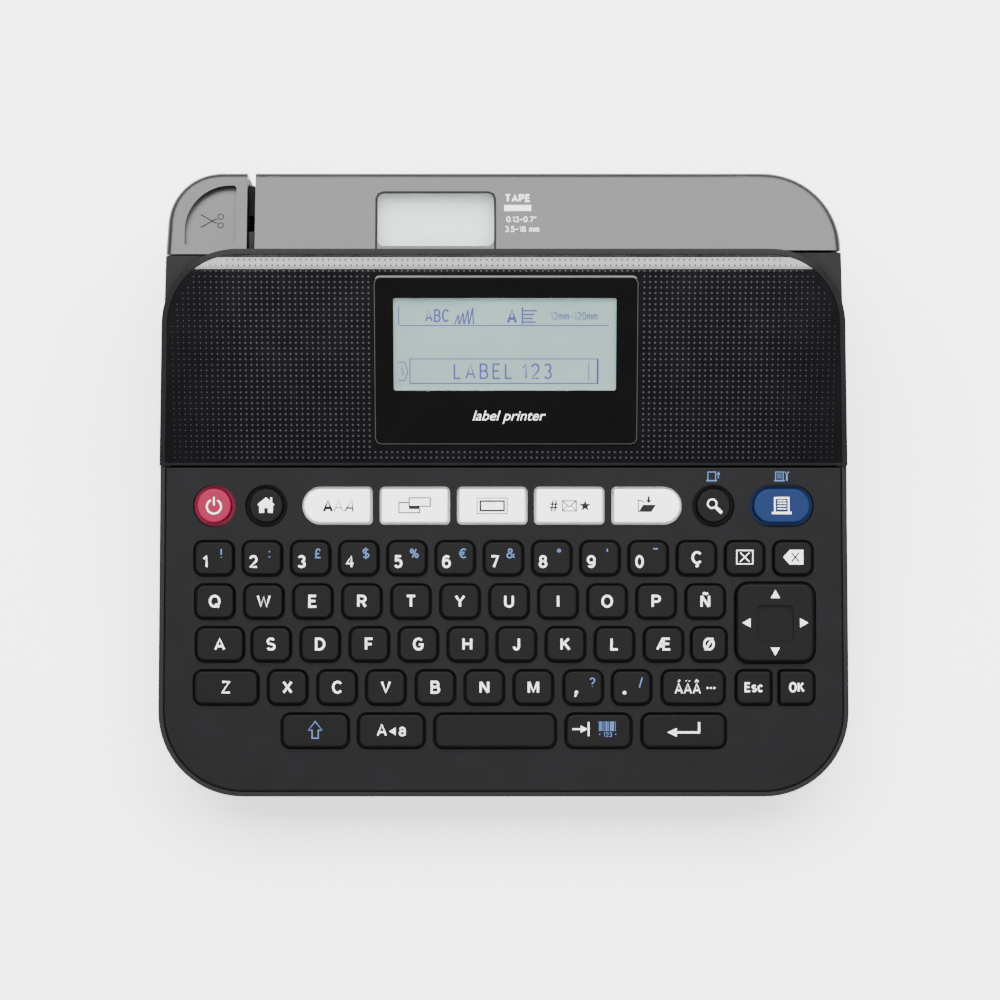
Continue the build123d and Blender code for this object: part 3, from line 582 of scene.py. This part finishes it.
class PRINTER_OT_function_keys(bpy.types.Operator):
    """Print the pictures on the function keys"""
    bl_idname = "printer.function_keys"
    bl_label = "Function keys"

    def execute(self, context):
        u = FUNCTION_U
        power = key_ink("legend_power", "key_power", "white_ink")
        power.arc(-79.5, u - 0.2, 1.95, 118, 422, 0.45)
        power.rect(-79.72, u + 0.1, -79.28, u + 2.4)
        power.done()
        home = key_ink("legend_home", "key_home", "white_ink")
        x = -65.2
        home.polygon([(x - 2.2, u + 0.1), (x - 2.2, u + 0.5), (x, u + 2.3), (x + 2.2, u + 0.5),
                      (x + 2.2, u + 0.1)])
        home.rect(x - 1.85, u - 1.9, x - 0.55, u + 0.1)
        home.rect(x + 0.55, u - 1.9, x + 1.85, u + 0.1)
        home.rect(x - 0.55, u - 0.6, x + 0.55, u + 0.1)
        home.rect(x + 1.2, u + 1.0, x + 1.65, u + 2.3)
        home.done()
        font = key_ink("legend_font", "key_font", "dark_ink")
        font.letters("A", -48.2, u, 3.7, 0.78)
        font.letters("A", -45.3, u + 0.1, 3.5, 0.3)
        font.letters("A", -42.5, u, 3.5, 0.46, shear=0.3)
        font.done()
        style = key_ink("legend_layout", "key_layout", "dark_ink")
        x = -24.4
        style.stroke([(x - 4.3, u - 1.9), (x + 1.4, u - 1.9), (x + 1.4, u - 0.7)], 0.34)
        style.stroke([(x - 4.3, u - 1.9), (x - 4.3, u + 0.9), (x - 1.5, u + 0.9)], 0.34)
        style.frame_line(x - 1.5, u - 0.1, x + 4.3, u + 2.2, 0.34)
        style.polygon([(x - 1.6, u - 0.9), (x + 1.4, u - 0.9), (x + 1.4, u - 0.1), (x - 1.6, u - 0.1)])
        style.done()
        border = key_ink("legend_frame", "key_frame", "dark_ink")
        x = -3.1
        for a, b, w in ((4.15, 2.15, 0.24), (3.25, 1.3, 0.5)):
            border.frame_line(x - a, u - b, x + a, u + b, w)
        border.done()
        signs = key_ink("legend_symbol", "key_symbol", "dark_ink")
        x = 18.1
        signs.letters("#", x - 4.3, u, 3.4, 0.4, 0.95)
        signs.frame_line(x - 1.9, u - 1.4, x + 1.9, u + 1.4, 0.28)
        signs.stroke([(x - 1.9, u + 1.4), (x, u - 0.3), (x + 1.9, u + 1.4)], 0.28)
        signs.stroke([(x - 1.9, u - 1.4), (x - 0.5, u + 0.15)], 0.24)
        signs.stroke([(x + 1.9, u - 1.4), (x + 0.5, u + 0.15)], 0.24)
        star = [(x + 4.3 + r * math.sin(math.tau * i / 10), u + r * math.cos(math.tau * i / 10))
                for i, r in enumerate((1.75, 0.7) * 5)]
        for i in range(0, 10, 2):
            signs.polygon([star[i - 1], star[i], star[(i + 1) % 10]])
        signs.polygon([star[i] for i in range(1, 10, 2)])
        signs.done()
        store = key_ink("legend_file", "key_file", "dark_ink")
        x = 39.4
        store.polygon([(x - 2.4, u - 1.7), (x - 1.1, u + 0.3), (x + 2.5, u + 0.3), (x + 1.2, u - 1.7)])
        store.stroke([(x - 2.4, u - 1.7), (x - 2.4, u + 1.5), (x - 1.6, u + 1.5), (x - 1.3, u + 1.15),
                      (x - 0.6, u + 1.15)], 0.3)
        store.rect(x + 0.15, u + 1.5, x + 0.75, u + 2.6)
        store.polygon([(x - 0.45, u + 1.6), (x + 0.45, u + 0.7), (x + 1.35, u + 1.6)])
        store.done()
        find = key_ink("legend_search", "key_search", "white_ink")
        find.arc(57.3, u + 0.6, 1.2, 0, 360, 0.42)
        find.stroke([(58.3, u - 0.4), (59.9, u - 1.9)], 0.85)
        find.done()
        send = key_ink("legend_print", "key_print", "white_ink")
        x = 76.4
        send.stroke([(x - 1.9, u - 1.7), (x - 1.9, u + 2.2), (x + 1.9, u + 2.2), (x + 1.9, u - 1.7)], 0.42)
        send.rect(x - 2.7, u - 2.25, x + 2.7, u - 1.65)
        for k in range(4):
            send.rect(x - 1.2, u - 0.95 + 0.75 * k, x + 1.2, u - 0.68 + 0.75 * k)
        send.done()
        clear = key_ink("legend_clear", "key_clear", "white_ink")
        x, v = 66.25, NUMBER_U + 0.3
        clear.frame_line(x - 2.2, v - 1.85, x + 2.2, v + 1.85, 0.3)
        clear.stroke([(x - 1.25, v - 1.25), (x + 1.25, v + 1.25)], 0.3)
        clear.stroke([(x - 1.25, v + 1.25), (x + 1.25, v - 1.25)], 0.3)
        clear.done()
        back = key_ink("legend_backspace", "key_backspace", "white_ink")
        x = 79.7
        back.polygon([(x - 2.9, v), (x - 1.1, v + 2.0), (x + 2.6, v + 2.0), (x + 2.6, v - 2.0),
                      (x - 1.1, v - 2.0)])
        back.done()
        cross = key_ink("legend_backspace_cross", "key_backspace", "dark_ink", KEY_TOP + 0.03)
        cross.stroke([(x - 0.6, v - 1.2), (x + 1.4, v + 1.2)], 0.4)
        cross.stroke([(x - 0.6, v + 1.2), (x + 1.4, v - 1.2)], 0.4)
        cross.done()
        return {"FINISHED"}


class PRINTER_OT_edit_keys(bpy.types.Operator):
    """Print the words and arrows on the editing keys and the rocker"""
    bl_idname = "printer.edit_keys"
    bl_label = "Editing keys"

    def execute(self, context):
        h = context.scene.printer_legends.letter_height / MM
        pad = key_ink("legend_dpad", "dpad", "white_ink", DPAD_TOP)
        x, u, reach, half = 74.6, 47.9, 7.7, 1.25
        arrow = ((reach - 0.9, -half), (reach + 1.3, 0), (reach - 0.9, half))
        for k in range(4):
            c, s = math.cos(k * math.pi / 2), math.sin(k * math.pi / 2)
            pad.polygon([(x + c * p - s * q, u + s * p + c * q) for p, q in arrow])
        pad.done()
        accent = key_ink("legend_accent", "key_accent", "white_ink")
        accent.letters("ÁÄÂ", 50.6, LOWER_U - 0.2, 3.1, 0.36, 0.9)
        for k in range(3):
            accent.disc(56.0 + 0.95 * k, LOWER_U - 0.1, 0.28)
        accent.done()
        esc = key_ink("legend_escape", "key_escape", "white_ink")
        esc.letters("Esc", 68.7, LOWER_U + 0.1, 2.7, 0.46, 0.95)
        esc.done()
        ok = key_ink("legend_ok", "key_ok", "white_ink")
        ok.letters("OK", 80.5, LOWER_U + 0.1, 2.8, 0.5, 0.88)
        ok.done()
        shift = key_ink("legend_shift", "key_shift", "blue_ink")
        x, u = -51.7, SPACE_U + 0.3
        shift.stroke([(x, u + 2.3), (x + 1.9, u - 0.1), (x + 0.85, u - 0.1), (x + 0.85, u - 2.3),
                      (x - 0.85, u - 2.3), (x - 0.85, u - 0.1), (x - 1.9, u - 0.1)], 0.32, True)
        shift.done()
        caps = key_ink("legend_caps", "key_caps", "white_ink")
        caps.letters("A", -33.4, SPACE_U + 0.3, h, 0.46)
        caps.letters("a", -27.8, SPACE_U + 0.3, h, 0.46)
        caps.polygon([(-31.4, SPACE_U - 0.1), (-29.6, SPACE_U + 0.95), (-29.6, SPACE_U - 1.15)])
        caps.done()
        tab = key_ink("legend_tab", "key_tab", "white_ink")
        v = SPACE_U + 0.5
        tab.stroke([(18.9, v), (21.6, v)], 0.42)
        tab.polygon([(21.2, v - 0.95), (23.1, v), (21.2, v + 0.95)])
        tab.rect(23.15, v - 1.9, 23.6, v + 1.9)
        tab.done()
        bars = key_ink("legend_tab_bars", "key_tab", "blue_ink")
        at = 26.2
        for k, w in enumerate((0.22, 0.34, 0.14, 0.14, 0.42, 0.2, 0.5, 0.5, 0.14)):
            bars.rect(at, v - 0.55, at + w, v + 2.1)
            at += w + (0.16, 0.3, 0.2, 0.34, 0.18, 0.36, 0.12, 0.3, 0)[k]
        bars.letters("123", 28.6, v - 1.5, 1.3, 0.2)
        bars.disc(26.4, v - 1.45, 0.2, 6)
        bars.disc(30.8, v - 1.45, 0.2, 6)
        bars.done()
        enter = key_ink("legend_enter", "key_enter", "white_ink")
        enter.stroke([(46.6, v - 0.9), (53.7, v - 0.9), (53.7, v + 1.9)], 0.55)
        enter.polygon([(45.0, v - 0.9), (47.6, v + 0.3), (47.6, v - 2.1)])
        enter.done()
        lift = context.scene.printer_legends.ink_lift
        deck = Ink("legend_deck", DECK, lift, BODY, MATS["blue_ink"], "key_white")
        for x in (57.3, 75.9):
            deck.stroke([(x - 1.1, 87.0), (x - 1.1, 89.3), (x + 1.0, 89.3), (x + 1.0, 87.0)], 0.24)
            deck.rect(x - 1.5, 86.75, x + 1.4, 87.1)
        deck.rect(58.95, 87.5, 59.2, 89.2)
        deck.polygon([(58.55, 88.6), (59.6, 88.6), (59.08, 89.4)])
        for k in range(3):
            deck.rect(75.2, 87.6 + 0.5 * k, 76.5, 87.78 + 0.5 * k)
        deck.stroke([(77.9, 86.9), (77.9, 88.5)], 0.45)
        deck.stroke([(77.4, 89.4), (77.9, 88.5), (78.4, 89.4)], 0.34)
        deck.done()
        return {"FINISHED"}


def panel_point(s, lift):
    """A place along the display panel's slope, with its bend at the back, as u and w in metres."""
    cos, sin = math.cos(PANEL_ANGLE), math.sin(PANEL_ANGLE)
    bend = (BEND_U - PANEL_U) / cos
    if s <= bend:
        u, w, heading = PANEL_U + s * cos, PANEL_W + s * sin, PANEL_ANGLE
    else:
        heading = PANEL_ANGLE - (s - bend) / BEND_RADIUS
        cu = PANEL_U + bend * cos + BEND_RADIUS * sin
        cw = PANEL_W + bend * sin - BEND_RADIUS * cos
        u, w = cu - BEND_RADIUS * math.sin(heading), cw + BEND_RADIUS * math.cos(heading)
    return u - lift * math.sin(heading), w + lift * math.cos(heading)


DOT_COLUMNS, DOT_ROWS = 119, 38
DOT_ROWS_MIDDLE = 30.9 * MM
DOT_LIFT = -0.118 * MM
FADE_RATE, SMALLEST_DOT = 26.0, 0.35
CORNER_X, CORNER_S, CORNER_RADIUS = 71.5, 39.5, 18.6
HALF_WIDTH, SIDE_TAPER = 92.6, 0.033
LENS_X, LENS_S = (-36.4, 37.8), (5.6, 54.1)
FIRST_S, LAST_S = 1.9, 58.9


def on_open_panel(x, s):
    """Whether a dot, in millimetres, is inside the panel's rounded edge and clear of the lens."""
    past_x, past_s = max(0.0, abs(x) - CORNER_X), max(0.0, s - CORNER_S)
    past_corner = past_s > 0 and math.hypot(past_x, past_s) > CORNER_RADIUS
    past_side = abs(x) > HALF_WIDTH - s * SIDE_TAPER
    under_lens = LENS_X[0] < x < LENS_X[1] and LENS_S[0] < s < LENS_S[1]
    return FIRST_S < s < LAST_S and not (past_corner or past_side or under_lens)


class PRINTER_OT_panel_dots(bpy.types.Operator):
    """Lay the grid of small dots over the display panel"""
    bl_idname = "printer.panel_dots"
    bl_label = "Panel dots"

    def execute(self, context):
        d = context.scene.printer_dots
        dot_mat = moulded("Panel dot", (0.0085, 0.0092, 0.012), 0.55, 0.0003, 0.000001, 0.05)
        tree = bpy.data.node_groups.new("Dot grid", "GeometryNodeTree")
        face = tree.interface
        face.new_socket("Geometry", in_out="INPUT", socket_type="NodeSocketGeometry")
        for label, kind in (("Pitch", "Float"), ("Radius", "Float"), ("Fade start", "Float"),
                            ("Corners", "Int"), ("Columns", "Int"), ("Rows", "Int")):
            face.new_socket(label, in_out="INPUT", socket_type="NodeSocket" + kind)
        face.new_socket("Geometry", in_out="OUTPUT", socket_type="NodeSocketGeometry")
        n, link = tree.nodes, tree.links
        src, out = n.new("NodeGroupInput"), n.new("NodeGroupOutput")

        def math_node(kind, a, b):
            node = n.new("ShaderNodeMath")
            node.operation = kind
            for k, value in enumerate((a, b)):
                if isinstance(value, (int, float)):
                    node.inputs[k].default_value = value
                elif value is not None:
                    link.new(value, node.inputs[k])
            return node.outputs[0]

        grid = n.new("GeometryNodeMeshGrid")
        columns, rows = src.outputs["Columns"], src.outputs["Rows"]
        link.new(columns, grid.inputs["Vertices X"])
        link.new(rows, grid.inputs["Vertices Y"])
        for count, size in ((columns, "Size X"), (rows, "Size Y")):
            gaps = math_node("SUBTRACT", count, 1)
            link.new(math_node("MULTIPLY", gaps, src.outputs["Pitch"]), grid.inputs[size])
        dot = n.new("GeometryNodeMeshCircle")
        dot.fill_type = "NGON"
        link.new(src.outputs["Corners"], dot.inputs["Vertices"])
        link.new(src.outputs["Radius"], dot.inputs["Radius"])
        place = n.new("GeometryNodeInputPosition")
        split = n.new("ShaderNodeSeparateXYZ")
        link.new(place.outputs[0], split.inputs[0])
        across = math_node("ABSOLUTE", split.outputs["X"], None)
        past = math_node("SUBTRACT", across, src.outputs["Fade start"])
        loss = math_node("MULTIPLY", math_node("MAXIMUM", past, 0.0), FADE_RATE)
        fade = math_node("MAXIMUM", math_node("SUBTRACT", 1.0, loss), SMALLEST_DOT)
        spread = n.new("GeometryNodeInstanceOnPoints")
        link.new(grid.outputs["Mesh"], spread.inputs["Points"])
        link.new(dot.outputs["Mesh"], spread.inputs["Instance"])
        link.new(fade, spread.inputs["Scale"])
        real = n.new("GeometryNodeRealizeInstances")
        link.new(spread.outputs[0], real.inputs[0])
        coat = n.new("GeometryNodeSetMaterial")
        coat.inputs["Material"].default_value = dot_mat
        link.new(real.outputs[0], coat.inputs["Geometry"])
        link.new(coat.outputs[0], out.inputs["Geometry"])

        holder = bpy.data.objects.new("dot_grid", bpy.data.meshes.new("dot_grid"))
        context.scene.collection.objects.link(holder)
        mod = holder.modifiers.new("Dots", "NODES")
        mod.node_group = tree
        ids = {item.name: item.identifier for item in face.items_tree if item.in_out == "INPUT"}
        for label, value in (("Pitch", d.pitch), ("Radius", d.radius), ("Fade start", d.fade_start),
                             ("Corners", d.sides), ("Columns", DOT_COLUMNS), ("Rows", DOT_ROWS)):
            mod[ids[label]] = value
        mesh = bpy.data.meshes.new_from_object(holder.evaluated_get(context.evaluated_depsgraph_get()))
        bpy.data.objects.remove(holder)
        bm = bmesh.new()
        bm.from_mesh(mesh)
        doomed = []
        for f in bm.faces:
            c = f.calc_center_median()
            if not on_open_panel(c.x / MM, (c.y + DOT_ROWS_MIDDLE) / MM):
                doomed.append(f)
        bmesh.ops.delete(bm, geom=doomed, context="FACES")
        for v in bm.verts:
            u, w = panel_point(v.co.y + DOT_ROWS_MIDDLE, DOT_LIFT)
            v.co = DECK @ Vector((v.co.x, u, w))
        bm.to_mesh(mesh)
        bm.free()
        mesh.name = "panel_dots"
        obj = bpy.data.objects.new("panel_dots", mesh)
        context.scene.collection.objects.link(obj)
        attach(obj, BODY)
        return {"FINISHED"}


class PRINTER_OT_screen_graphics(bpy.types.Operator):
    """Draw the picture on the screen, the words on its bezel and a painted highlight round the bezel's edge
    """
    bl_idname = "printer.screen_graphics"
    bl_label = "Screen graphics"

    def execute(self, context):
        words = context.scene.printer_screen.line_one
        face = SCREEN @ Matrix.Translation((0, 0, -0.6 * MM))
        ink = Ink("screen_picture", face, 0.00003, BODY, MATS["lcd_ink"], "lcd")
        x0, x1, s0, s1 = -30.0, 30.7, 21.6, 47.3
        top = s1 - 8.0
        ink.rect(x0 + 1.7, top, x1 - 2.0, top + 0.28)
        ink.rect(x0 + 1.3, top + 0.3, x0 + 1.58, top + 5.4)
        ink.letters("ABC", x0 + 11.9, top + 2.9, 3.6, 0.44, 0.72)
        for k in range(4):
            a = x0 + 17.2 + 1.3 * k
            t = 2.6 + 0.65 * k
            ink.stroke([(a - 0.5, top + 0.5), (a + 0.5, top + 0.5 + t)], 0.34)
            ink.stroke([(a + 0.5, top + 0.5 + t), (a + 0.7, top + 0.5)], 0.34)
        ink.letters("A", x0 + 32.3, top + 2.8, 4.3, 0.75, 0.8)
        ink.rect(x0 + 34.9, top + 0.5, x0 + 35.35, top + 5.2)
        for k, w in enumerate((3.3, 2.6, 3.0, 3.7)):
            ink.rect(x0 + 35.4, top + 0.9 + 1.05 * k, x0 + 35.4 + w, top + 1.3 + 1.05 * k)
        ink.letters("12mm-120mm", x0 + 49.2, top + 2.8, 2.2, 0.26, 0.74)
        b0, b1 = s0 + 1.6, s0 + 8.7
        for p in ((x0 + 4.3, b0, x1 - 4.7, b0 + 0.3), (x0 + 4.3, b1 - 0.25, x1 - 4.7, b1),
                  (x0 + 4.3, b0, x0 + 4.58, b1), (x1 - 5.25, b0, x1 - 4.7, b1)):
            ink.rect(*p)
        ink.letters(words, x0 + 29.8, (b0 + b1) / 2, 4.4, 0.46, 0.8, gap=0.7)
        ink.rect(x1 - 7.5, b0 + 0.9, x1 - 7.3, b1 - 0.9)
        ink.letters("1", x0 + 2.2, (b0 + b1) / 2, 2.4, 0.3)
        ink.stroke([(x0 + 1.3, b0 + 1.0), (x0 + 3.0, b0 + 1.0), (x0 + 3.9, (b0 + b1) / 2),
                    (x0 + 3.0, b1 - 1.0), (x0 + 1.3, b1 - 1.0)], 0.25)
        ink.done()
        bezel = SCREEN @ Matrix.Translation((0, 0, 0.9 * MM))
        name = Ink("bezel_words", bezel, 0.00003, BODY, MATS["white_ink"], "lens_black")
        name.text("label printer", 1.2, 14.2, 0.0040, 0.3)
        name.done()
        # Painted highlight: a paler line round the bezel's edge stands in for light caught on its chamfer.
        edge = Ink("lens_edge_highlight", bezel, 0.00002, BODY, MATS["edge_ink"], "lens_black")
        x0, x1, s0, s1 = -35.1, 36.5, 6.7, 53.0
        edge.cut_corner_line(x0, s0, x1, s1, 1.5, 0.45, 0.2)
        edge.done()
        return {"FINISHED"}


class PRINTER_OT_cover_marks(bpy.types.Operator):
    """Print the tape widths on the rear cover, the label on the cassette and the mark in the lever"""
    bl_idname = "printer.cover_marks"
    bl_label = "Cover marks"

    def execute(self, context):
        top_slope = Matrix.Rotation(math.atan2(-6.4, 27.0), 4, "X")
        top = DECK @ Matrix.Translation((0, COVER_U, 4.7 * MM)) @ top_slope
        marks = Ink("cover_marks", top, 0.00003, "back_cover", MATS["grey_ink"], "case_black")
        marks.rect(0.2, 13.3, 7.6, 15.0)
        trim = Ink("window_trim", top, 0.00002, "back_cover", MATS["dark_ink"], "case_black")
        x0, x1, y0, y1 = -34.9, -2.3, 1.4, 18.7
        trim.stroke([(x0, y0), (x1, y0), (x1, y1 - 1.9), (x1 - 0.55, y1 - 0.55), (x1 - 1.9, y1),
                     (x0 + 1.9, y1), (x0 + 0.55, y1 - 0.55), (x0, y1 - 1.9)], 0.6, True)
        trim.done()
        marks.letters("TAPE", 3.9, 17.0, 2.3, 0.5, 0.95)
        marks.letters("0.13-0.7\"", 4.9, 10.9, 1.7, 0.26, 0.95)
        marks.letters("3.5-18 mm", 5.1, 8.1, 1.7, 0.26, 0.95)
        marks.done()
        cassette = DECK @ Matrix.Translation((0, 0, -5.3 * MM))
        paper = moulded("Cassette label", (0.83, 0.84, 0.84), 0.55, 0.0004, 0.000002, 0.02)
        label = Ink("cassette_label", cassette, 0.00005, "tape_cassette", paper, "tape_white")
        label.rect(-40.0, 128.0, 2.0, 166.2)
        label.done()
        faint = moulded("Faint print", (0.74, 0.75, 0.75), 0.55, 0.0004, 0.000002, 0.02)
        lines = Ink("cassette_label_print", cassette, 0.00009, "tape_cassette", faint, "tape_white")
        lines.frame_line(-29.5, 140, -7.5, 160.2, 0.3)
        lines.letters("12 mm", -13.6, 157.6, 2.0, 0.26)
        for k in range(4):
            lines.rect(-27.5, 158.2 - 2.6 * k, -19.0 + 1.1 * k, 158.7 - 2.6 * k)
        lines.done()
        floor_slope = Matrix.Rotation(math.atan2(-7.6, 32.0), 4, "X")
        well = DECK @ Matrix.Translation((0, COVER_U, 2.1 * MM)) @ floor_slope
        scissors = Ink("lever_mark", well, 0.00003, "cutter_lever", MATS["dark_ink"], "case_black")
        cx, cy = -79.7, 10.6
        scissors.stroke([(cx - 3.6, cy + 1.9), (cx + 0.2, cy - 0.4), (cx + 1.0, cy - 0.6)], 0.3)
        scissors.stroke([(cx - 3.6, cy - 1.9), (cx + 0.2, cy + 0.4), (cx + 1.0, cy + 0.6)], 0.3)
        for side in (1, -1):
            scissors.arc(cx + 1.9, cy + 1.25 * side, 0.75, 0, 360, 0.26)
        scissors.done()
        return {"FINISHED"}


FOCAL_LENGTH, LIGHT_HEIGHT = 130.93, 1.35
VIEW_X, VIEW_U = -0.96 * MM, 81.6 * MM


class PRINTER_OT_stage(bpy.types.Operator):
    """Set the pale floor, the soft lights and the camera"""
    bl_idname = "printer.stage"
    bl_label = "Stage"

    def execute(self, context):
        s = context.scene.printer_stage
        bpy.ops.mesh.primitive_plane_add(size=8, location=(0, 0, 0))
        floor = context.object
        floor.name = "studio_floor"
        floor.data.materials.append(glowing("Pale floor", s.floor_colour, 1.3, 0.005))

        def softbox(name, place, size, power, aim):
            data = bpy.data.lights.new(name, "AREA")
            data.shape = "RECTANGLE"
            data.size, data.size_y = size
            data.energy = power
            obj = bpy.data.objects.new(name, data)
            obj.location = place
            obj.rotation_euler = (Vector(aim) - Vector(place)).to_track_quat("-Z", "Y").to_euler()
            context.scene.collection.objects.link(obj)
            return obj

        softbox("Overhead softbox", (0.0, 0.66, LIGHT_HEIGHT), (2.0, 1.36), s.key_power, (0, 0.58, 0))
        softbox("Strip light", (0.0, -0.44, LIGHT_HEIGHT), (0.72, 0.44), s.strip_power, (0, -0.44, 0))
        world = bpy.data.worlds.new("Studio")
        world.use_nodes = True
        sky = world.node_tree.nodes["Background"]
        sky.inputs["Color"].default_value = (0.93, 0.96, 1.0, 1)
        sky.inputs["Strength"].default_value = 0.1
        context.scene.world = world

        data = bpy.data.cameras.new("Camera")
        data.sensor_width = 36.0
        data.lens = FOCAL_LENGTH
        camera = bpy.data.objects.new("Camera", data)
        spot = DECK @ Vector((VIEW_X, VIEW_U, s.camera_distance))
        camera.matrix_world = Matrix.Translation(spot) @ Matrix.Rotation(DECK_ANGLE, 4, "X")
        context.scene.collection.objects.link(camera)
        context.scene.camera = camera
        return {"FINISHED"}


STEPS = (
    PRINTER_OT_finishes,
    PRINTER_OT_letter_keys,
    PRINTER_OT_function_keys,
    PRINTER_OT_edit_keys,
    PRINTER_OT_panel_dots,
    PRINTER_OT_screen_graphics,
    PRINTER_OT_cover_marks,
    PRINTER_OT_stage,
)


class PRINTER_PT_panel(bpy.types.Panel):
    bl_label = "Label printer"
    bl_idname = "PRINTER_PT_panel"
    bl_space_type = "VIEW_3D"
    bl_region_type = "UI"
    bl_category = "Label printer"

    def draw(self, context):
        for group in GROUPS:
            settings = getattr(context.scene, group)
            box = self.layout.box()
            for key in settings.__annotations__:
                box.prop(settings, key)
        for step in STEPS:
            self.layout.operator(step.bl_idname)


GROUPS = {
    "printer_finish": LabelPrinterFinish,
    "printer_legends": LabelPrinterLegends,
    "printer_dots": LabelPrinterDots,
    "printer_screen": LabelPrinterScreen,
    "printer_stage": LabelPrinterStage,
}


def register():
    for name, group in GROUPS.items():
        bpy.utils.register_class(group)
        setattr(bpy.types.Scene, name, PointerProperty(type=group))
    for cls in STEPS + (PRINTER_PT_panel,):
        bpy.utils.register_class(cls)


def unregister():
    for cls in reversed(STEPS + (PRINTER_PT_panel,)):
        bpy.utils.unregister_class(cls)
    for name, group in GROUPS.items():
        delattr(bpy.types.Scene, name)
        bpy.utils.unregister_class(group)


def main():
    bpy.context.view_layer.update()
    register()
    for step in STEPS:
        area, name = step.bl_idname.split(".")
        getattr(getattr(bpy.ops, area), name)()


if __name__ == "__main__":
    main()
